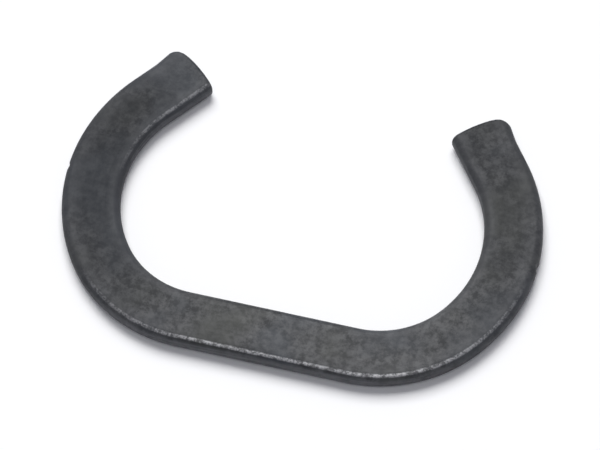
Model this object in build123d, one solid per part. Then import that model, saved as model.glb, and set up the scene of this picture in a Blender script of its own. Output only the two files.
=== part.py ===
from build123d import *
import os

# Flat spring wire, whose edges are rolled almost half round, by a share of the thickness
wire_width = 3.2
wire_thickness = 1.1
edge_round_share = 0.435

# Formed path, measured along the middle of the wire
spine_length = 9.4
shoulder_radius = 6.55
shoulder_turn = 54.0
arm_radius = 8.25
arm_turn = 74.0
tail_length = 3.2

# Sheared tips, swollen on the outer side and crowned, with a large round at the outer corner
swell_length = 1.7
swell_rise = 0.2
crown_radius = 7.0
crown_turn = 7.0
corner_radius = 1.1
corner_turn = 65.0
tip_round = 0.2

# Witness marks of the forming tool at the widest point of both arms
mark_radius = 0.35
mark_depth = 0.1


def across(point, heading):
    """Plane square to the wire: X to the inside of the ring, Y up, Z along the wire."""
    return Plane(origin=point, x_dir=Vector(0, 0, 1).cross(heading), z_dir=heading)


def section(growth):
    """Wire section whose outer side stands out by the growth."""
    edge_round = wire_thickness * edge_round_share
    return Pos(-growth / 2, 0) * RectangleRounded(wire_width + growth, wire_thickness, edge_round)


# Right half of the path, from the middle of the spine to where the tip starts to swell
spine = Line((0, 0), (spine_length / 2, 0))
shoulder = JernArc(spine @ 1, spine % 1, shoulder_radius, shoulder_turn)
arm = JernArc(shoulder @ 1, shoulder % 1, arm_radius, arm_turn)
tail = PolarLine(arm @ 1, tail_length - swell_length, direction=arm % 1)
path = Wire([spine, shoulder, arm, tail])
wire = sweep(across(spine @ 0, spine % 0) * section(0), path=path)

# Swollen end of the tail
swell_start = across(tail @ 1, tail % 1)
swell_end = swell_start.offset(swell_length)
swell = loft([swell_start * section(0), swell_end * section(swell_rise)])

# Plan of the shear, with X along the tail and Y to the inside of the ring
crown = CenterArc((-crown_radius, 0), crown_radius, -crown_turn, crown_turn * 2)
corner = JernArc(crown @ 0, -(crown % 0), corner_radius, -corner_turn)
outer_run = PolarLine(corner @ 1, wire_width, direction=corner % 1)
inner_run = PolarLine(crown @ 1, wire_width, direction=crown % 1)
behind = -swell_length - wire_width
back = Polyline(inner_run @ 1, (behind, wire_width), (behind, -wire_width), outer_run @ 1)
plan = make_face([outer_run, corner, crown, inner_run, back])
shear_plane = Plane(origin=swell_end.origin, x_dir=swell_end.z_dir, z_dir=(0, 0, 1))
shear = extrude(shear_plane * plan, amount=wire_thickness, both=True)
tip = swell & shear
tip = fillet(new_edges(swell, shear, combined=tip), tip_round)

# Both halves in one piece
half = wire + tip
ring = half + mirror(half, about=Plane.YZ)

# Witness marks
widest = arm.center_point + Vector(arm_radius + wire_width / 2, 0)
mark = Pos(widest.X + mark_radius - mark_depth, widest.Y) * Cylinder(mark_radius, wire_thickness * 2)
ring = ring - mark - mirror(mark, about=Plane.YZ)

# Lying on its lower face, with the origin under the middle of its outline
box = ring.bounding_box()
middle = box.center()
ring = Pos(-middle.X, -middle.Y, -box.min.Z) * ring

os.makedirs("parts", exist_ok=True)
export_step(ring, "parts/retaining_ring.step")
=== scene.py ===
import math

import bmesh
import bpy
from bpy.props import FloatProperty, FloatVectorProperty, IntProperty, PointerProperty
from mathutils import Matrix, Vector


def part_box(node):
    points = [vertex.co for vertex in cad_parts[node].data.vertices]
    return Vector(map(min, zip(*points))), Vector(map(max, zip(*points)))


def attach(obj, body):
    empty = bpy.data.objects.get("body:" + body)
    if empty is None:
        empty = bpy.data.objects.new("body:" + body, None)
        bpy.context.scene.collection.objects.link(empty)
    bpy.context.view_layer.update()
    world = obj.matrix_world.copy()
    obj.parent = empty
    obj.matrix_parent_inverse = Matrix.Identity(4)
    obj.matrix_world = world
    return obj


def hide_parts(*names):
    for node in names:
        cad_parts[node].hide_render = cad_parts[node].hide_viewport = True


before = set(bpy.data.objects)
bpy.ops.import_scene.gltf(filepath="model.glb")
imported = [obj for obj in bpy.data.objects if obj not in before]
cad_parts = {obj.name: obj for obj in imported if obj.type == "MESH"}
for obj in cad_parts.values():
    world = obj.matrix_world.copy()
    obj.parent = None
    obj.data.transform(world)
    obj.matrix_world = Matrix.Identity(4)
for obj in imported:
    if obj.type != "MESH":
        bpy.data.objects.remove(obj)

bl_info = {
    "name": "Retaining Ring",
    "version": (1, 0, 0),
    "blender": (4, 5, 0),
    "location": "3D View > Sidebar > Retaining Ring",
    "description": "Dresses a retaining ring bent from flat spring wire, and its studio stage",
    "category": "Add Mesh",
}

RING_NODE = "retaining_ring"

# Names of what the wire's mesh carries for its finish
AROUND_SHARE = "around"
STOCK_PLACE = "stock_place"
FACE_SHARE = "face_share"
SHEAR_SHARE = "shear_share"
WIRE_MAP = "wire_map"

# Painted sheen and oxide tone from the left tip, at 0, to the right tip, at 1: lighter on the spine, where
# the softbox's sheen is painted in, darker on the arms, and the two arms a little different in their own
# oxide
SHEEN_TONE_RUN = (-0.025, 0.025)
SHEEN_TONE_SHARES = {0.01: 0.90, 0.09: 0.17, 0.30: 0.40, 0.45: 0.95, 0.68: 0.92, 0.86: 0.38, 0.98: 0.48}

# Spans along the wire, counted from the middle of the spine, with the left arm below zero
# Where the painted highlight runs: on the outer edge from the left shoulder to the right shoulder, and on
# the inner edge towards the left tip
OUTER_HIGHLIGHT_START = (-0.0105, -0.003)
OUTER_HIGHLIGHT_END = (0.009, 0.015)
INNER_HIGHLIGHT_START = (-0.016, -0.021)
CAST_RUN = (-0.020, 0.020)

# Spans along the wire, counted from the middle of the spine to either side
SPINE_END = (0.0035, 0.0060)
BEND_START = (0.006, 0.010)
BEND_END = (0.016, 0.019)

# Spans across the wire, counted from its middle, with the outer side below zero
OUTER_SIDE = (0.0005, -0.0005)
# Painted shade beside the spine's outer rim, and painted light beside the arms' rims
OUTER_FLAT_SHADE = (-0.0005, -0.0011)
ARM_OUTER_LIGHT = (-0.0004, -0.0010)
ARM_INNER_LIGHT = (0.0008, 0.0012)

# Spans round the wire's section, from 1 on the flats to 0 on the walls
# Where the painted highlight lies round the edge
HIGHLIGHT_UPPER = (0.985, 0.950)
HIGHLIGHT_LOWER = (0.75, 0.86)
# Where the painted rim shade lies round the edge
RIM_SHADE_UPPER = (0.985, 0.93)
RIM_SHADE_LOWER = (0.65, 0.85)
# Where the walls' painted light reaches
WALL_LIGHT_SPAN = (0.75, 0.40)

# Spans of the noise patterns that take part in the finish
PATCH_SPAN = (0.40, 0.60)
BLUE_SPAN = (0.50, 0.66)
OLIVE_SPAN = (0.48, 0.34)
SMUDGE_SPAN = (0.35, 0.65)
# Breaks in the painted highlight
HIGHLIGHT_BREAK_SPAN = (0.44, 0.58)
STREAK_SPAN = (0.40, 0.60)
GLOSS_SPAN = (0.3, 0.7)

# Shares of the patches in the breaks of the painted highlight, and of the die lines in the walls' streaks
HIGHLIGHT_BREAK_PATCHES = 0.6
STREAK_LINES = 0.6

# How far each part of the finish roughens the steel, and how far the stretch of the painted highlight is
# smoothed
DIE_LINE_ROUGH = 0.03
PATCH_ROUGH = 0.05
DARK_TONE_ROUGH = 0.20
SHEAR_ROUGH = 0.06
HIGHLIGHT_SMOOTH = 0.15

# Die lines run long along the stock and close together across it, and stand up less than the stipple
DIE_LINE_SCALE = (350.0, 9000.0, 9000.0)
DIE_LINE_RELIEF = 0.2
STIPPLE_RELIEF = 0.5
RELIEF_DEPTH = 0.000004

# The shear is aimed at the swelling side in a few rounds, and the end faces close within a short reach
QUARTER_TURN = math.pi / 2.0
AIM_ROUNDS = 3
TIP_MERGE = 0.000002

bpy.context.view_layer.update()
RING_LOW, RING_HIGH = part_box(RING_NODE)

# The wire's edges are rolled almost half round, by a share of its thickness
THICKNESS = RING_HIGH.z - RING_LOW.z
EDGE_ROUND_SHARE = 0.435

# Share of the section's points that lie along its flats, the rest going round the edges
FLAT_SHARE = 0.25


class RingForm(bpy.types.PropertyGroup):
    """Sizes of the bent wire"""

    wire_width: FloatProperty(
        name="Wire Width",
        description="Width of the flat wire, seen from above",
        default=0.0032,
        unit="LENGTH",
        precision=5,
    )
    wire_thickness: FloatProperty(
        name="Wire Thickness",
        description="Thickness of the flat wire, which is the height of the lying ring",
        default=THICKNESS,
        unit="LENGTH",
        precision=5,
    )
    edge_round: FloatProperty(
        name="Edge Round",
        description="Radius rolled on the four edges of the wire",
        default=THICKNESS * EDGE_ROUND_SHARE,
        unit="LENGTH",
        precision=5,
    )
    spine_length: FloatProperty(
        name="Spine Length",
        description="Straight run opposite the mouth",
        default=0.0094,
        unit="LENGTH",
        precision=5,
    )
    shoulder_radius: FloatProperty(
        name="Shoulder Radius",
        description="Bend between the spine and an arm, at the middle of the wire",
        default=0.00655,
        unit="LENGTH",
        precision=5,
    )
    shoulder_turn: FloatProperty(
        name="Shoulder Turn",
        description="Angle of a shoulder",
        default=math.radians(54.0),
        subtype="ANGLE",
    )
    arm_radius: FloatProperty(
        name="Arm Radius",
        description="Bend of an arm, at the middle of the wire",
        default=0.00825,
        unit="LENGTH",
        precision=5,
    )
    arm_turn: FloatProperty(
        name="Arm Turn",
        description="Angle of an arm's bend",
        default=math.radians(74.0),
        subtype="ANGLE",
    )
    tail_length: FloatProperty(
        name="Tail Length",
        description="Straight run from an arm's bend to its tip",
        default=0.0032,
        unit="LENGTH",
        precision=5,
    )
    swell_length: FloatProperty(
        name="Swell Length",
        description="Length over which the sheared tip swells",
        default=0.0017,
        unit="LENGTH",
        precision=5,
    )
    swell_rise: FloatProperty(
        name="Swell Rise",
        description="How far the tip swells on its outer side",
        default=0.0002,
        unit="LENGTH",
        precision=5,
    )
    crown_radius: FloatProperty(
        name="Crown Radius",
        description="Crown of the sheared tip, seen from above",
        default=0.0070,
        unit="LENGTH",
        precision=5,
    )
    crown_turn: FloatProperty(
        name="Crown Turn",
        description="Half angle of the crown, which a corner follows outside and a straight run inside",
        default=math.radians(7.0),
        subtype="ANGLE",
    )
    corner_radius: FloatProperty(
        name="Corner Radius",
        description="Round at the outer corner of the tip, seen from above",
        default=0.0011,
        unit="LENGTH",
        precision=5,
    )
    tip_round: FloatProperty(
        name="Tip Round",
        description="Radius tumbled on the edges of the sheared tip",
        default=0.0002,
        unit="LENGTH",
        precision=5,
    )
    mark_radius: FloatProperty(
        name="Mark Radius",
        description="Radius of the forming tool's mark on an arm",
        default=0.00035,
        unit="LENGTH",
        precision=5,
    )
    mark_depth: FloatProperty(
        name="Mark Depth",
        description="Depth of the forming tool's mark on an arm",
        default=0.0001,
        unit="LENGTH",
        precision=5,
    )
    stations: IntProperty(
        name="Stations",
        description="Sections along the wire",
        default=721,
        min=61,
    )
    section_points: IntProperty(
        name="Section Points",
        description="Points around the wire, in steps of four",
        default=88,
        min=24,
        step=4,
    )


class RingFinish(bpy.types.PropertyGroup):
    """Colours and patterns of the blackened steel, with its painted sheen, shade, light and highlight"""

    oxide_dark: FloatVectorProperty(
        name="Oxide Dark",
        description="Darker patches of the black oxide",
        default=(0.0245, 0.0255, 0.0268),
        subtype="COLOR",
        size=3,
        min=0.0,
        max=1.0,
    )
    oxide_light: FloatVectorProperty(
        name="Oxide Light",
        description="Lighter patches of the black oxide",
        default=(0.079, 0.0806, 0.0824),
        subtype="COLOR",
        size=3,
        min=0.0,
        max=1.0,
    )
    # Painted shade: the dark end of the painted sheen tone, darkest on the arms, and of the painted rim
    # shade; the random smudges also darken towards it
    deep_oxide_and_shade: FloatVectorProperty(
        name="Oxide Deep",
        description="Deepest black of the oxide, on the arms",
        default=(0.0052, 0.0066, 0.0100),
        subtype="COLOR",
        size=3,
        min=0.0,
        max=1.0,
    )
    # Painted light: the lighter grey painted on the walls and beside the arms' rims
    painted_light_grey: FloatVectorProperty(
        name="Oxide Thin",
        description="Thin oxide on the rolled walls of the wire",
        default=(0.100, 0.102, 0.108),
        subtype="COLOR",
        size=3,
        min=0.0,
        max=1.0,
    )
    oxide_blue: FloatVectorProperty(
        name="Oxide Blue",
        description="Blue cast where the oxide is thin",
        default=(0.042, 0.0484, 0.0583),
        subtype="COLOR",
        size=3,
        min=0.0,
        max=1.0,
    )
    oxide_olive: FloatVectorProperty(
        name="Oxide Olive",
        description="Olive cast where oil has dried on the oxide",
        default=(0.0506, 0.0528, 0.0462),
        subtype="COLOR",
        size=3,
        min=0.0,
        max=1.0,
    )
    # Painted highlight: light bare steel along the near edges, where the strip lamp's highlight line falls
    highlight_steel: FloatVectorProperty(
        name="Worn Steel",
        description="Bare steel where the edges are rubbed through",
        default=(0.50, 0.50, 0.51),
        subtype="COLOR",
        size=3,
        min=0.0,
        max=1.0,
    )
    patch_scale: FloatProperty(
        name="Patch Scale",
        description="Scale of the small patches of oxide",
        default=1900.0,
        min=0.0,
    )
    smudge_scale: FloatProperty(
        name="Smudge Scale",
        description="Scale of the smudges that the bath left",
        default=650.0,
        min=0.0,
    )
    cast_scale: FloatProperty(
        name="Cast Scale",
        description="Scale of the blue and olive casts",
        default=230.0,
        min=0.0,
    )
    stipple_scale: FloatProperty(
        name="Stipple Scale",
        description="Scale of the fine stipple",
        default=9000.0,
        min=0.0,
    )
    smudge_share: FloatProperty(
        name="Smudge Share",
        description="How far a smudge lightens or deepens the oxide",
        default=0.11,
        min=0.0,
        max=1.0,
    )
    cast_share: FloatProperty(
        name="Cast Share",
        description="Strength of the blue and olive casts",
        default=0.7,
        min=0.0,
        max=1.0,
    )
    cast_lean: FloatProperty(
        name="Cast Lean",
        description="How far the cast leans to blue on the left arm and to olive on the right one",
        default=0.07,
        min=0.0,
        max=1.0,
    )
    # Strength of the painted highlight on the inner edge near the left tip
    inner_highlight: FloatProperty(
        name="Inner Rub",
        description="Wear of the inner edge near the left tip, as a share of the outer edge's",
        default=0.38,
        min=0.0,
        max=1.0,
    )
    # Share of the painted highlight that stays between its breaks
    highlight_floor: FloatProperty(
        name="Rub Floor",
        description="Share of a rubbed edge that is bare between the scuffs",
        default=0.15,
        min=0.0,
        max=1.0,
    )
    # Painted shade on the rims along the spine
    spine_rim_shade: FloatProperty(
        name="Rim Deep",
        description="Share of deep oxide on the rims along the spine",
        default=0.3,
        min=0.0,
        max=1.0,
    )
    # Painted shade on the flats beside the spine's outer rim
    near_rim_shade: FloatProperty(
        name="Rim Near",
        description="Share of deep oxide on the flats beside the outer rim of the spine",
        default=0.2,
        min=0.0,
        max=1.0,
    )
    # Darkens the rounded edges of the sheared tips
    rim_shear: FloatProperty(
        name="Rim Shear",
        description="Share of deep oxide on the edges of the sheared tips",
        default=1.2,
        min=0.0,
    )
    # Painted light beside the outer rim of the arms
    arm_outer_light: FloatProperty(
        name="Tumbled Outer",
        description="Share of thin oxide beside the outer rim of the arms",
        default=0.2,
        min=0.0,
        max=1.0,
    )
    # Painted light beside the inner rim of the arms
    arm_inner_light: FloatProperty(
        name="Tumbled Inner",
        description="Share of thin oxide beside the inner rim of the arms",
        default=0.28,
        min=0.0,
        max=1.0,
    )
    # Share of the walls' painted light between their streaks
    wall_light_floor: FloatProperty(
        name="Streak Floor",
        description="Share of thin oxide on the walls between their streaks",
        default=0.45,
        min=0.0,
        max=1.0,
    )
    # Share of the walls' painted light that is left out round the bends
    bend_wall_dim: FloatProperty(
        name="Bend Deep",
        description="Share of the walls' thin oxide that is missing round the bends",
        default=0.7,
        min=0.0,
        max=1.0,
    )
    grain: FloatProperty(
        name="Grain",
        description="How far the drawn grain pulls the highlights along the wire",
        default=0.2,
        min=0.0,
        max=1.0,
    )
    shine: FloatProperty(
        name="Shine",
        description="Mirror strength of the oiled oxide",
        default=0.25,
        min=0.0,
        max=1.0,
    )
    roughness: FloatProperty(
        name="Roughness",
        description="Roughness of the light oxide",
        default=0.49,
        min=0.0,
        max=1.0,
    )


class RingStage(bpy.types.PropertyGroup):
    """Floor, light and viewpoint"""

    floor_colour: FloatVectorProperty(
        name="Floor Colour",
        description="White paper under the ring",
        default=(0.90, 0.90, 0.90),
        subtype="COLOR",
        size=3,
        min=0.0,
        max=1.0,
    )
    floor_roughness: FloatProperty(
        name="Floor Roughness",
        description="Roughness of the paper",
        default=0.9,
        min=0.0,
        max=1.0,
    )
    floor_shine: FloatProperty(
        name="Floor Shine",
        description="Mirror strength of the paper",
        default=0.1,
        min=0.0,
        max=1.0,
    )
    floor_reach: FloatProperty(
        name="Floor Reach",
        description="How far the paper reaches from the ring on each side",
        default=0.6,
        unit="LENGTH",
    )
    floor_lift: FloatProperty(
        name="Floor Lift",
        description="Share of white that the paper shows by itself",
        default=0.03,
        min=0.0,
        max=1.0,
    )
    lamp_distance: FloatProperty(
        name="Lamp Distance",
        description="Distance from both lamps to the ring",
        default=1.0,
        unit="LENGTH",
    )
    softbox_level: FloatProperty(
        name="Softbox Level",
        description="Brightness of the softbox behind the ring",
        default=7.9,
        min=0.0,
    )
    softbox_tilt: FloatProperty(
        name="Softbox Tilt",
        description="Angle of the softbox from straight overhead, away from the camera",
        default=math.radians(34.0),
        subtype="ANGLE",
    )
    softbox_turn: FloatProperty(
        name="Softbox Turn",
        description="Turn of the softbox to the left of straight behind the ring",
        default=math.radians(4.0),
        subtype="ANGLE",
    )
    softbox_width: FloatProperty(
        name="Softbox Width",
        description="Width of the softbox, across the view",
        default=0.73,
        unit="LENGTH",
    )
    softbox_height: FloatProperty(
        name="Softbox Height",
        description="Height of the softbox",
        default=0.62,
        unit="LENGTH",
    )
    strip_level: FloatProperty(
        name="Strip Level",
        description="Brightness of the strip lamp over the camera",
        default=3.2,
        min=0.0,
    )
    strip_tilt: FloatProperty(
        name="Strip Tilt",
        description="Angle of the strip lamp from straight overhead, towards the camera",
        default=math.radians(18.0),
        subtype="ANGLE",
    )
    strip_width: FloatProperty(
        name="Strip Width",
        description="Width of the strip lamp, across the view",
        default=0.58,
        unit="LENGTH",
    )
    strip_height: FloatProperty(
        name="Strip Height",
        description="Height of the strip lamp",
        default=0.18,
        unit="LENGTH",
    )
    room_level: FloatProperty(
        name="Room Level",
        description="Brightness of the room straight overhead",
        default=0.12,
        min=0.0,
    )
    room_rise: FloatProperty(
        name="Room Rise",
        description="How much brighter the room is near the floor than overhead",
        default=0.5,
        min=0.0,
    )
    room_colour: FloatVectorProperty(
        name="Room Colour",
        description="Cool light from the room round the stage",
        default=(0.93, 0.95, 1.12),
        subtype="COLOR",
        size=3,
        min=0.0,
    )
    view_azimuth: FloatProperty(
        name="View Azimuth",
        description="Turn of the camera round the ring, from the spine's side",
        default=math.radians(17.94),
        subtype="ANGLE",
    )
    view_elevation: FloatProperty(
        name="View Elevation",
        description="Height of the camera above the floor, as an angle",
        default=math.radians(61.26),
        subtype="ANGLE",
    )
    view_roll: FloatProperty(
        name="View Roll",
        description="Lean of the camera about its own axis",
        default=math.radians(3.79),
        subtype="ANGLE",
    )
    view_distance: FloatProperty(
        name="View Distance",
        description="Distance from the camera to the ring",
        default=0.5017,
        unit="LENGTH",
    )
    view_lens: FloatProperty(
        name="View Lens",
        description="Focal length in millimetres",
        default=555.0,
    )


class Flow:
    """A number in a node tree, so that the wire's rules read as formulas"""

    def __init__(self, tree, socket):
        self.tree = tree
        self.socket = socket

    def __add__(self, other):
        return shape(self.tree, "ADD", self, other)

    def __radd__(self, other):
        return shape(self.tree, "ADD", other, self)

    def __sub__(self, other):
        return shape(self.tree, "SUBTRACT", self, other)

    def __rsub__(self, other):
        return shape(self.tree, "SUBTRACT", other, self)

    def __mul__(self, other):
        return shape(self.tree, "MULTIPLY", self, other)

    def __truediv__(self, other):
        return shape(self.tree, "DIVIDE", self, other)

    def __neg__(self):
        return shape(self.tree, "MULTIPLY", self, -1.0)

    def sin(self):
        return shape(self.tree, "SINE", self)

    def cos(self):
        return shape(self.tree, "COSINE", self)

    def root(self):
        return shape(self.tree, "SQRT", self.at_least(0.0))

    def size(self):
        return shape(self.tree, "ABSOLUTE", self)

    def sign(self):
        return shape(self.tree, "SIGN", self)

    def at_least(self, low):
        return shape(self.tree, "MAXIMUM", self, low)

    def at_most(self, high):
        return shape(self.tree, "MINIMUM", self, high)

    def within(self, low, high):
        return self.at_least(low).at_most(high)

    def above(self, level):
        return shape(self.tree, "GREATER_THAN", self, level)

    def ramp(self, span, low=0.0, high=1.0):
        """Goes from low to high over a span of this number, and holds at both ends"""
        node = self.tree.nodes.new("ShaderNodeMapRange")
        for name, value in zip(("From Min", "From Max", "To Min", "To Max"), (*span, low, high)):
            node.inputs[name].default_value = value
        self.tree.links.new(self.socket, node.inputs["Value"])
        return Flow(self.tree, node.outputs["Result"])


def shape(tree, operation, *values):
    """Adds one Math node and gives its result"""
    node = tree.nodes.new("ShaderNodeMath")
    node.operation = operation
    for place, value in enumerate(values):
        if isinstance(value, Flow):
            tree.links.new(value.socket, node.inputs[place])
        else:
            node.inputs[place].default_value = value
    return Flow(tree, node.outputs[0])


def joined(tree, x, y, z):
    """Puts three numbers together as a vector"""
    node = tree.nodes.new("ShaderNodeCombineXYZ")
    for place, value in enumerate((x, y, z)):
        if isinstance(value, Flow):
            tree.links.new(value.socket, node.inputs[place])
        else:
            node.inputs[place].default_value = value
    return node.outputs[0]


def parted(tree, vector):
    """Takes a vector apart into three numbers"""
    node = tree.nodes.new("ShaderNodeSeparateXYZ")
    tree.links.new(vector, node.inputs[0])
    return [Flow(tree, output) for output in node.outputs]


def stored(tree, geometry, name, kind, domain, value):
    """Keeps a value on the geometry under a name"""
    node = tree.nodes.new("GeometryNodeStoreNamedAttribute")
    node.data_type = kind
    node.domain = domain
    node.inputs["Name"].default_value = name
    tree.links.new(geometry, node.inputs["Geometry"])
    tree.links.new(value, node.inputs["Value"])
    return node.outputs["Geometry"]


def flat_section(tree, half_width, half_thickness, edge_round, section_points):
    """Flat wire's section: a circle stretched into two faces, two walls and four rounds"""
    circle = tree.nodes.new("GeometryNodeCurvePrimitiveCircle")
    circle.mode = "RADIUS"
    circle.inputs["Radius"].default_value = 1.0
    tree.links.new(section_points.socket, circle.inputs["Resolution"])
    place = tree.nodes.new("GeometryNodeInputPosition")
    across, up, _ = parted(tree, place.outputs[0])

    run_across = (across / FLAT_SHARE).within(-1.0, 1.0)
    run_up = (up / FLAT_SHARE).within(-1.0, 1.0)
    turn_across = across - run_across * FLAT_SHARE
    turn_up = up - run_up * FLAT_SHARE
    reach = (turn_across * turn_across + turn_up * turn_up).root()
    facing_across = turn_across / reach
    facing_up = turn_up / reach
    section_across = run_across * (half_width - edge_round) + facing_across * edge_round
    section_up = run_up * (half_thickness - edge_round) + facing_up * edge_round

    around = tree.nodes.new("GeometryNodeSplineParameter")
    curve = stored(tree, circle.outputs["Curve"], AROUND_SHARE, "FLOAT", "POINT", around.outputs["Factor"])
    curve = stored(tree, curve, FACE_SHARE, "FLOAT", "POINT", facing_up.size().socket)
    moved = tree.nodes.new("GeometryNodeSetPosition")
    tree.links.new(curve, moved.inputs["Geometry"])
    tree.links.new(joined(tree, section_across, section_up, 0.0), moved.inputs["Position"])
    return moved.outputs["Geometry"]


def shear_drop(out, crown_radius, crown_turn, corner_radius):
    """How far the sheared tip falls back from its crown, seen from above"""
    crown_reach = crown_radius * crown_turn.sin()
    on_crown = out.at_least(-crown_reach)
    crown_drop = crown_radius - (crown_radius * crown_radius - on_crown * on_crown).root()
    inner_drop = (-crown_reach - out).at_least(0.0) * crown_turn.sin() / crown_turn.cos()
    corner_out = (crown_radius - corner_radius) * crown_turn.sin()
    corner_back = crown_radius - (crown_radius - corner_radius) * crown_turn.cos()
    past_corner = out - corner_out
    corner_drop = corner_back - (corner_radius * corner_radius - past_corner * past_corner).root()
    on_corner = out.above(crown_reach)
    return crown_drop + inner_drop + (corner_drop - crown_drop) * on_corner


def wire_tree(form, material):
    """Builds the rule of the ring: straight flat stock, sheared at its tips and bent to its path"""
    tree = bpy.data.node_groups.new("Bent flat wire", "GeometryNodeTree")
    tree.is_modifier = True
    tree.interface.new_socket("Ring", in_out="OUTPUT", socket_type="NodeSocketGeometry")
    source = tree.nodes.new("NodeGroupInput")
    sockets = {}
    for name, prop in form.bl_rna.properties.items():
        if prop.type not in {"FLOAT", "INT"}:
            continue
        kind = "NodeSocketInt" if prop.type == "INT" else "NodeSocketFloat"
        sockets[name] = tree.interface.new_socket(prop.name, in_out="INPUT", socket_type=kind)
    spine_place = tree.interface.new_socket("Spine Place", in_out="INPUT", socket_type="NodeSocketFloat")
    sockets["spine_place"] = spine_place
    given = {name: Flow(tree, source.outputs[socket.name]) for name, socket in sockets.items()}

    half_width = given["wire_width"] * 0.5
    half_thickness = given["wire_thickness"] * 0.5
    edge_round = given["edge_round"]
    half_spine = given["spine_length"] * 0.5
    shoulder_radius = given["shoulder_radius"]
    shoulder_turn = given["shoulder_turn"]
    arm_radius = given["arm_radius"]
    arm_turn = given["arm_turn"]
    tip_round = given["tip_round"]
    shoulder_run = shoulder_radius * shoulder_turn
    arm_run = arm_radius * arm_turn
    half_length = half_spine + shoulder_run + arm_run + given["tail_length"]

    # Straight stock, a little longer than the wire, because its ends fold over the tips
    fold_run = tip_round * QUARTER_TURN
    face_run = half_thickness - tip_round
    stock_half = half_length - tip_round + fold_run + face_run
    line = tree.nodes.new("GeometryNodeCurvePrimitiveLine")
    tree.links.new(joined(tree, -stock_half, 0.0, 0.0), line.inputs["Start"])
    tree.links.new(joined(tree, stock_half, 0.0, 0.0), line.inputs["End"])
    resampled = tree.nodes.new("GeometryNodeResampleCurve")
    tree.links.new(line.outputs["Curve"], resampled.inputs["Curve"])
    tree.links.new(given["stations"].socket, resampled.inputs["Count"])
    upright = tree.nodes.new("GeometryNodeSetCurveNormal")
    upright.mode = "Z_UP"
    tree.links.new(resampled.outputs["Curve"], upright.inputs["Curve"])
    section = flat_section(tree, half_width, half_thickness, edge_round, given["section_points"])
    stock = tree.nodes.new("GeometryNodeCurveToMesh")
    tree.links.new(upright.outputs["Curve"], stock.inputs["Curve"])
    tree.links.new(section, stock.inputs["Profile Curve"])

    place = tree.nodes.new("GeometryNodeInputPosition")
    along, side, height = parted(tree, place.outputs[0])
    out = -side
    run = along.size()

    # Tips: the edge folds over by the tip's round, then the end face closes on its middle line
    past = run - (half_length - tip_round)
    fold = (past / fold_run).within(0.0, 1.0) * QUARTER_TURN
    closing = ((past - fold_run) / face_run).within(0.0, 1.0)
    inset = tip_round * (1.0 - fold.cos())
    core_reach = half_width - edge_round
    core_height = half_thickness - edge_round
    facing_out = (out - out.within(-core_reach, core_reach)) / edge_round
    facing_up = (height - height.within(-core_height, core_height)) / edge_round
    folded_out = out - inset * facing_out
    folded_up = height - inset * facing_up
    line_reach = half_width - half_thickness
    line_out = out.within(-line_reach, line_reach)
    tip_out = folded_out + (line_out - folded_out) * closing
    tip_up = folded_up * (1.0 - closing)
    reach = run.at_most(half_length - tip_round) + tip_round * fold.sin()

    # Shear: the crown and the round corner, met by the swelling outer side after a few rounds of aiming
    swell_length = given["swell_length"]
    swell_share = given["swell_rise"] * (tip_out + half_width) / given["wire_width"]
    aimed = tip_out
    for _ in range(AIM_ROUNDS):
        drop = shear_drop(aimed, given["crown_radius"], given["crown_turn"], given["corner_radius"])
        aimed = tip_out + swell_share * (1.0 - drop / swell_length)
    drawn_back = ((reach - (half_length - swell_length)) / swell_length).within(0.0, 1.0)
    sheared = reach - drawn_back * drop
    swelling = ((sheared - (half_length - swell_length)) / swell_length).within(0.0, 1.0)
    swollen = tip_out + swell_share * swelling

    # Mark of the forming tool where an arm is widest
    mark_radius = given["mark_radius"]
    mark_place = half_spine + shoulder_run + arm_radius * (QUARTER_TURN - shoulder_turn)
    off_mark = (sheared - mark_place) * (arm_radius + half_width) / arm_radius
    mark_floor = half_width + mark_radius - given["mark_depth"]
    marked = swollen.at_most(mark_floor - (mark_radius * mark_radius - off_mark * off_mark).root())
    marked = marked + (swollen - marked) * swelling.above(0.0)

    # Bend: the spine, the shoulder, the arm and the tail, one after the other
    on_spine = sheared.at_most(half_spine)
    on_shoulder = (sheared - half_spine).within(0.0, shoulder_run) / shoulder_radius
    on_arm = (sheared - half_spine - shoulder_run).within(0.0, arm_run) / arm_radius
    on_tail = (sheared - half_spine - shoulder_run - arm_run).at_least(0.0)
    heading = on_shoulder + on_arm
    arm_heading = shoulder_turn + on_arm
    tail_heading = shoulder_turn + arm_turn
    path_x = on_spine + shoulder_radius * on_shoulder.sin()
    path_x = path_x + arm_radius * (arm_heading.sin() - shoulder_turn.sin())
    path_x = path_x + on_tail * tail_heading.cos()
    path_y = shoulder_radius * (1.0 - on_shoulder.cos())
    path_y = path_y + arm_radius * (shoulder_turn.cos() - arm_heading.cos())
    path_y = path_y + on_tail * tail_heading.sin()
    bent_x = along.sign() * (path_x + marked * heading.sin())
    bent_y = path_y - marked * heading.cos() + given["spine_place"]
    bent_z = tip_up + half_thickness

    # What the finish reads is kept while the stock is still straight
    around = tree.nodes.new("GeometryNodeInputNamedAttribute")
    around.data_type = "FLOAT"
    around.inputs["Name"].default_value = AROUND_SHARE
    girth = (half_width + half_thickness) * 4.0
    around_run = Flow(tree, around.outputs["Attribute"]) * girth
    shear_share = (past / fold_run).within(0.0, 1.0)
    geometry = stock.outputs["Mesh"]
    geometry = stored(tree, geometry, STOCK_PLACE, "FLOAT_VECTOR", "POINT", place.outputs[0])
    geometry = stored(tree, geometry, SHEAR_SHARE, "FLOAT", "POINT", shear_share.socket)
    geometry = stored(tree, geometry, WIRE_MAP, "FLOAT2", "CORNER", joined(tree, around_run, along, 0.0))
    bent = tree.nodes.new("GeometryNodeSetPosition")
    tree.links.new(geometry, bent.inputs["Geometry"])
    tree.links.new(joined(tree, bent_x, bent_y, bent_z), bent.inputs["Position"])

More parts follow.
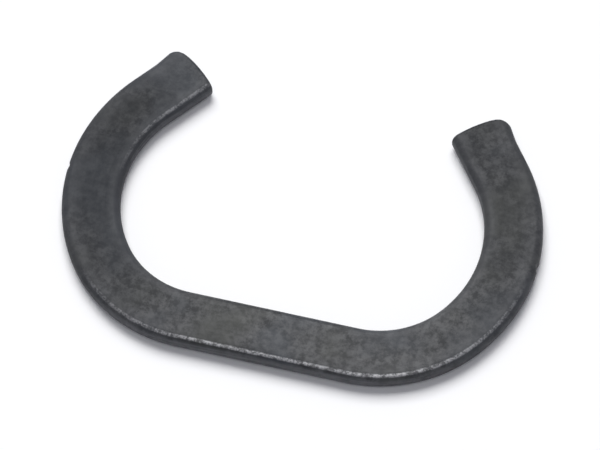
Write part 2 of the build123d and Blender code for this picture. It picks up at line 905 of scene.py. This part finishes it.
    # The end faces meet on their middle lines
    closed = tree.nodes.new("GeometryNodeMergeByDistance")
    closed.inputs["Distance"].default_value = TIP_MERGE
    tree.links.new(bent.outputs["Geometry"], closed.inputs["Geometry"])
    smooth = tree.nodes.new("GeometryNodeSetShadeSmooth")
    tree.links.new(closed.outputs["Geometry"], smooth.inputs["Geometry"])
    real = tree.nodes.new("GeometryNodeRealizeInstances")
    tree.links.new(smooth.outputs["Geometry"], real.inputs["Geometry"])
    dressed = tree.nodes.new("GeometryNodeSetMaterial")
    dressed.inputs["Material"].default_value = material
    tree.links.new(real.outputs["Geometry"], dressed.inputs["Geometry"])
    sink = tree.nodes.new("NodeGroupOutput")
    tree.links.new(dressed.outputs["Geometry"], sink.inputs["Ring"])
    return tree, sockets


def noise(tree, vector, scale, detail, roughness):
    """Adds a noise pattern and gives its value"""
    node = tree.nodes.new("ShaderNodeTexNoise")
    node.inputs["Scale"].default_value = scale
    node.inputs["Detail"].default_value = detail
    node.inputs["Roughness"].default_value = roughness
    tree.links.new(vector, node.inputs["Vector"])
    return Flow(tree, node.outputs["Fac"])


def carried(tree, name):
    """Reads what the wire's mesh carries under a name"""
    node = tree.nodes.new("ShaderNodeAttribute")
    node.attribute_name = name
    return node.outputs


def blended(tree, share, first, second):
    """Mixes two colours, each a socket or a colour"""
    node = tree.nodes.new("ShaderNodeMix")
    node.data_type = "RGBA"
    tree.links.new(share.socket, node.inputs["Factor"])
    for name, colour in (("A", first), ("B", second)):
        socket = next(s for s in node.inputs if s.name == name and s.type == "RGBA")
        if isinstance(colour, bpy.types.NodeSocket):
            tree.links.new(colour, socket)
        else:
            socket.default_value = (*colour, 1.0)
    return next(s for s in node.outputs if s.type == "RGBA")


def bumped(tree, height, strength, normal=None):
    """Raises a surface by a pattern"""
    node = tree.nodes.new("ShaderNodeBump")
    node.inputs["Strength"].default_value = strength
    node.inputs["Distance"].default_value = RELIEF_DEPTH
    tree.links.new(height.socket, node.inputs["Height"])
    if normal is not None:
        tree.links.new(normal, node.inputs["Normal"])
    return node.outputs["Normal"]


def sheen_and_oxide_tone(tree, along):
    """Share of lighter tone along the wire: a painted sheen that makes the spine lighter than the arms,
    over the oxide's own difference between the arms
    """
    node = tree.nodes.new("ShaderNodeValToRGB")
    tree.links.new(along.ramp(SHEEN_TONE_RUN).socket, node.inputs["Fac"])
    node.color_ramp.interpolation = "B_SPLINE"
    stops = node.color_ramp.elements
    for place, share in SHEEN_TONE_SHARES.items():
        stop = stops.new(place)
        stop.color = (share, share, share, 1.0)
    stops.remove(stops[0])
    stops.remove(stops[len(stops) - 1])
    return Flow(tree, node.outputs["Color"])


def oxide_steel(finish):
    """Oiled black oxide on drawn spring steel, with die lines along the wire, a painted highlight of bare
    steel on the near edges, and painted sheen, shade and light in its colour
    """
    material = bpy.data.materials.new("Black oxide spring steel")
    material.use_nodes = True
    tree = material.node_tree
    tree.nodes.clear()
    sink = tree.nodes.new("ShaderNodeOutputMaterial")
    steel = tree.nodes.new("ShaderNodeBsdfPrincipled")
    tree.links.new(steel.outputs["BSDF"], sink.inputs["Surface"])
    steel.inputs["Anisotropic"].default_value = finish.grain
    steel.inputs["Specular IOR Level"].default_value = finish.shine
    grain_map = tree.nodes.new("ShaderNodeTangent")
    grain_map.direction_type = "UV_MAP"
    grain_map.uv_map = WIRE_MAP
    tree.links.new(grain_map.outputs["Tangent"], steel.inputs["Tangent"])

    # Places on the ring and on the straight stock, and which way the section faces
    place = tree.nodes.new("ShaderNodeTexCoord").outputs["Object"]
    stock = carried(tree, STOCK_PLACE)["Vector"]
    along, side, _ = parted(tree, stock)
    off_middle = along.size()
    facing = Flow(tree, carried(tree, FACE_SHARE)["Fac"])
    sheared = Flow(tree, carried(tree, SHEAR_SHARE)["Fac"])
    rolled = 1.0 - sheared
    drawn = tree.nodes.new("ShaderNodeVectorMath")
    drawn.operation = "MULTIPLY"
    drawn.inputs[1].default_value = DIE_LINE_SCALE
    tree.links.new(stock, drawn.inputs[0])

    # Patterns, and mixes of them for what is scuffed and streaked
    patches = noise(tree, place, finish.patch_scale, detail=4.0, roughness=0.75)
    smudges = noise(tree, place, finish.smudge_scale, detail=3.0, roughness=0.6)
    stipple = noise(tree, place, finish.stipple_scale, detail=2.0, roughness=0.6)
    cast = noise(tree, place, finish.cast_scale, detail=2.0, roughness=0.5)
    cast = cast + along.ramp(CAST_RUN, finish.cast_lean, -finish.cast_lean)
    die_lines = noise(tree, drawn.outputs["Vector"], 1.0, detail=3.0, roughness=0.55)
    highlight_breaks = stipple * (1.0 - HIGHLIGHT_BREAK_PATCHES) + patches * HIGHLIGHT_BREAK_PATCHES
    streaks = die_lines * STREAK_LINES + patches * (1.0 - STREAK_LINES)

    # Edges: a painted highlight of light bare steel, which also mirrors the strip lamp, along the outer
    # edge of the spine and the right shoulder and along the inner edge near the left tip, where the strip
    # lamp's highlight line falls
    outer = side.ramp(OUTER_SIDE)
    outer_run = along.ramp(OUTER_HIGHLIGHT_START) * along.ramp(OUTER_HIGHLIGHT_END, 1.0, 0.0)
    inner_run = along.ramp(INNER_HIGHLIGHT_START, 0.0, finish.inner_highlight)
    highlight_edge = facing.ramp(HIGHLIGHT_UPPER) * facing.ramp(HIGHLIGHT_LOWER) * rolled
    highlight_edge = highlight_edge * (outer * outer_run + (1.0 - outer) * inner_run)
    bare = highlight_edge * highlight_breaks.ramp(HIGHLIGHT_BREAK_SPAN, finish.highlight_floor, 1.0)

    # Rims: painted shade darkens them along the spine, and the flats beside its outer rim; painted light
    # lightens the flats beside them on the arms; and the rounded edges of the sheared tips are darker
    on_spine = off_middle.ramp(SPINE_END, 1.0, 0.0)
    rim = facing.ramp(RIM_SHADE_UPPER, 0.0, finish.spine_rim_shade) * facing.ramp(RIM_SHADE_LOWER)
    rim = rim + side.ramp(OUTER_FLAT_SHADE, 0.0, finish.near_rim_shade)
    rim = (rim * on_spine + sheared * finish.rim_shear) * rolled * (1.0 - highlight_edge)
    tumbled = side.ramp(ARM_OUTER_LIGHT, 0.0, finish.arm_outer_light)
    tumbled = tumbled + side.ramp(ARM_INNER_LIGHT, 0.0, finish.arm_inner_light)
    tumbled = tumbled * (1.0 - on_spine) * rolled

    # Walls: painted light lightens them in streaks, for the light they catch from the floor and the room,
    # and less so round the bends
    on_bend = off_middle.ramp(BEND_START, 0.0, finish.bend_wall_dim) * off_middle.ramp(BEND_END, 1.0, 0.0)
    wall = facing.ramp(WALL_LIGHT_SPAN) * streaks.ramp(STREAK_SPAN, finish.wall_light_floor, 1.0)
    wall = wall * rolled * (1.0 - on_bend)

    # Colour: patches of oxide with a blue or olive cast here and there, painted sheen and shade in the tone
    # along the wire, painted shade on the spine's rims, painted light on the walls and beside the arms'
    # rims, and a painted highlight of bare steel on the near edges
    oxide = blended(tree, patches.ramp(PATCH_SPAN), finish.oxide_dark, finish.oxide_light)
    oxide = blended(tree, cast.ramp(BLUE_SPAN, 0.0, finish.cast_share), oxide, finish.oxide_blue)
    oxide = blended(tree, cast.ramp(OLIVE_SPAN, 0.0, finish.cast_share), oxide, finish.oxide_olive)
    # The tone is partly a painted sheen, lighter along the spine and darker on the arms; the smudges in it
    # are the oxide's own
    tone = sheen_and_oxide_tone(tree, along) + smudges.ramp(SMUDGE_SPAN, -finish.smudge_share, finish.smudge_share)
    tone = tone.within(0.0, 1.0)
    oxide = blended(tree, tone, finish.deep_oxide_and_shade, oxide)
    oxide = blended(tree, rim, oxide, finish.deep_oxide_and_shade)
    oxide = blended(tree, wall.at_least(tumbled), oxide, finish.painted_light_grey)
    oxide = blended(tree, bare, oxide, finish.highlight_steel)
    tree.links.new(oxide, steel.inputs["Base Color"])
    tree.links.new(bare.socket, steel.inputs["Metallic"])

    # Roughness: it varies a little, more where the painted tone is dark or the tip is sheared, and less
    # along the painted highlight
    rough = finish.roughness + die_lines.ramp(GLOSS_SPAN, -DIE_LINE_ROUGH, DIE_LINE_ROUGH)
    rough = rough - patches.ramp(GLOSS_SPAN, -PATCH_ROUGH, PATCH_ROUGH)
    rough = rough + (1.0 - tone) * DARK_TONE_ROUGH + sheared * SHEAR_ROUGH - highlight_edge * HIGHLIGHT_SMOOTH
    tree.links.new(rough.socket, steel.inputs["Roughness"])

    # Relief: the die lines under the stipple
    relief = bumped(tree, die_lines, DIE_LINE_RELIEF)
    relief = bumped(tree, stipple, STIPPLE_RELIEF, relief)
    tree.links.new(relief, steel.inputs["Normal"])
    return material


def white_paper(stage):
    """Matt white floor that shows white to the camera and in the steel, and keeps the shadow"""
    material = bpy.data.materials.new("White paper")
    material.use_nodes = True
    tree = material.node_tree
    paper = tree.nodes["Principled BSDF"]
    paper.inputs["Base Color"].default_value = (*stage.floor_colour, 1.0)
    paper.inputs["Roughness"].default_value = stage.floor_roughness
    paper.inputs["Specular IOR Level"].default_value = stage.floor_shine
    paper.inputs["Emission Color"].default_value = (1.0, 1.0, 1.0, 1.0)
    rays = tree.nodes.new("ShaderNodeLightPath")
    seen = Flow(tree, rays.outputs["Is Camera Ray"])
    seen = seen + Flow(tree, rays.outputs["Is Glossy Ray"])
    seen = (seen + Flow(tree, rays.outputs["Is Transmission Ray"])).at_most(1.0)
    tree.links.new((seen * stage.floor_lift).socket, paper.inputs["Emission Strength"])
    return material


def flat_piece(name, corners, material):
    """Makes a stage object of one flat face from its corners"""
    mesh = bpy.data.meshes.new(name)
    work = bmesh.new()
    work.faces.new([work.verts.new(corner) for corner in corners])
    work.to_mesh(mesh)
    work.free()
    mesh.materials.append(material)
    piece = bpy.data.objects.new(name, mesh)
    bpy.context.scene.collection.objects.link(piece)


def hung_lamp(name, azimuth, tilt, distance, width, height, level):
    """Hangs a rectangular lamp over the ring, tilted away from the camera, at a brightness"""
    way = Vector((-math.sin(azimuth) * math.sin(tilt), math.cos(azimuth) * math.sin(tilt), math.cos(tilt)))
    light = bpy.data.lights.new(name, "AREA")
    light.shape = "RECTANGLE"
    light.size = width
    light.size_y = height
    light.energy = level * math.pi * width * height
    lamp = bpy.data.objects.new(name, light)
    turn = way.to_track_quat("Z", "Y").to_matrix()
    lamp.matrix_world = Matrix.Translation(way * distance) @ turn.to_4x4()
    bpy.context.scene.collection.objects.link(lamp)


class RING_OT_wire(bpy.types.Operator):
    """Bends the flat wire into the ring and lays it in the place of the solid"""

    bl_idname = "ring.wire"
    bl_label = "Bend Wire"

    def execute(self, context):
        form = context.scene.ring_form
        steel = oxide_steel(context.scene.ring_finish)
        tree, sockets = wire_tree(form, steel)
        holder = bpy.data.objects.new("wire_rule", bpy.data.meshes.new("wire_rule"))
        context.scene.collection.objects.link(holder)
        modifier = holder.modifiers.new("Bent flat wire", "NODES")
        modifier.node_group = tree
        for name, socket in sockets.items():
            if name != "spine_place":
                modifier[socket.identifier] = getattr(form, name)
        modifier[sockets["spine_place"].identifier] = RING_LOW.y + form.wire_width / 2.0
        depsgraph = context.evaluated_depsgraph_get()
        mesh = bpy.data.meshes.new_from_object(
            holder.evaluated_get(depsgraph), preserve_all_data_layers=True, depsgraph=depsgraph
        )
        bpy.data.objects.remove(holder)
        if not mesh.polygons:
            raise RuntimeError("the wire came out empty")
        mesh.name = "retaining_ring_wire"
        ring = bpy.data.objects.new("retaining_ring_wire", mesh)
        context.scene.collection.objects.link(ring)
        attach(ring, "root")
        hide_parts(RING_NODE)
        return {"FINISHED"}


class RING_OT_stage(bpy.types.Operator):
    """Lays the white floor and sets up the studio light and the camera"""

    bl_idname = "ring.stage"
    bl_label = "Set Stage"

    def execute(self, context):
        scene = context.scene
        stage = scene.ring_stage
        reach = stage.floor_reach
        paper = [(-reach, -reach, 0.0), (reach, -reach, 0.0), (reach, reach, 0.0), (-reach, reach, 0.0)]
        flat_piece("white_floor", paper, white_paper(stage))

        # A softbox above and behind the ring, as the camera sees it, and a strip lamp over the camera
        azimuth = stage.view_azimuth
        elevation = stage.view_elevation
        distance = stage.lamp_distance
        hung_lamp(
            "back_softbox", azimuth + stage.softbox_turn, stage.softbox_tilt, distance,
            stage.softbox_width, stage.softbox_height, stage.softbox_level,
        )
        hung_lamp(
            "front_strip", azimuth, -stage.strip_tilt, distance,
            stage.strip_width, stage.strip_height, stage.strip_level,
        )

        # A dim room, whose pale walls stand round the stage
        room = bpy.data.worlds.new("Dim room")
        room.use_nodes = True
        tree = room.node_tree
        way = tree.nodes.new("ShaderNodeTexCoord").outputs["Generated"]
        lowness = 1.0 - parted(tree, way)[2].within(0.0, 1.0)
        level = stage.room_level + lowness * lowness * stage.room_rise
        tree.links.new(level.socket, tree.nodes["Background"].inputs["Strength"])
        tree.nodes["Background"].inputs["Color"].default_value = (*stage.room_colour, 1.0)
        scene.world = room

        # The camera looks at the middle of the ring from the photo's side
        aim = (RING_LOW + RING_HIGH) / 2.0
        back_way = Vector((
            math.sin(azimuth) * math.cos(elevation),
            -math.cos(azimuth) * math.cos(elevation),
            math.sin(elevation),
        ))
        turn = back_way.to_track_quat("Z", "Y").to_matrix() @ Matrix.Rotation(-stage.view_roll, 3, "Z")
        view = bpy.data.cameras.new("photo_view")
        view.sensor_width = 36.0
        view.lens = stage.view_lens
        view.clip_start = 0.01
        view.clip_end = 10.0
        camera = bpy.data.objects.new("photo_view", view)
        camera.matrix_world = Matrix.Translation(aim + back_way * stage.view_distance) @ turn.to_4x4()
        scene.collection.objects.link(camera)
        scene.camera = camera
        scene.view_settings.view_transform = "Standard"
        return {"FINISHED"}


class RING_PT_panel(bpy.types.Panel):
    """Sizes, colours and stage of the retaining ring"""

    bl_idname = "RING_PT_panel"
    bl_label = "Retaining Ring"
    bl_space_type = "VIEW_3D"
    bl_region_type = "UI"
    bl_category = "Retaining Ring"

    def draw(self, context):
        layout = self.layout
        scene = context.scene
        groups = {"Form": scene.ring_form, "Finish": scene.ring_finish, "Stage": scene.ring_stage}
        for heading, group in groups.items():
            box = layout.box()
            box.label(text=heading)
            for name, prop in group.bl_rna.properties.items():
                if prop.type in {"FLOAT", "INT"}:
                    box.prop(group, name)
        layout.operator(RING_OT_wire.bl_idname)
        layout.operator(RING_OT_stage.bl_idname)


CLASSES = (RingForm, RingFinish, RingStage, RING_OT_wire, RING_OT_stage, RING_PT_panel)


def register():
    for cls in CLASSES:
        bpy.utils.register_class(cls)
    bpy.types.Scene.ring_form = PointerProperty(type=RingForm)
    bpy.types.Scene.ring_finish = PointerProperty(type=RingFinish)
    bpy.types.Scene.ring_stage = PointerProperty(type=RingStage)


def unregister():
    del bpy.types.Scene.ring_stage
    del bpy.types.Scene.ring_finish
    del bpy.types.Scene.ring_form
    for cls in reversed(CLASSES):
        bpy.utils.unregister_class(cls)


def main():
    register()
    bpy.ops.ring.wire()
    bpy.ops.ring.stage()


if __name__ == "__main__":
    main()
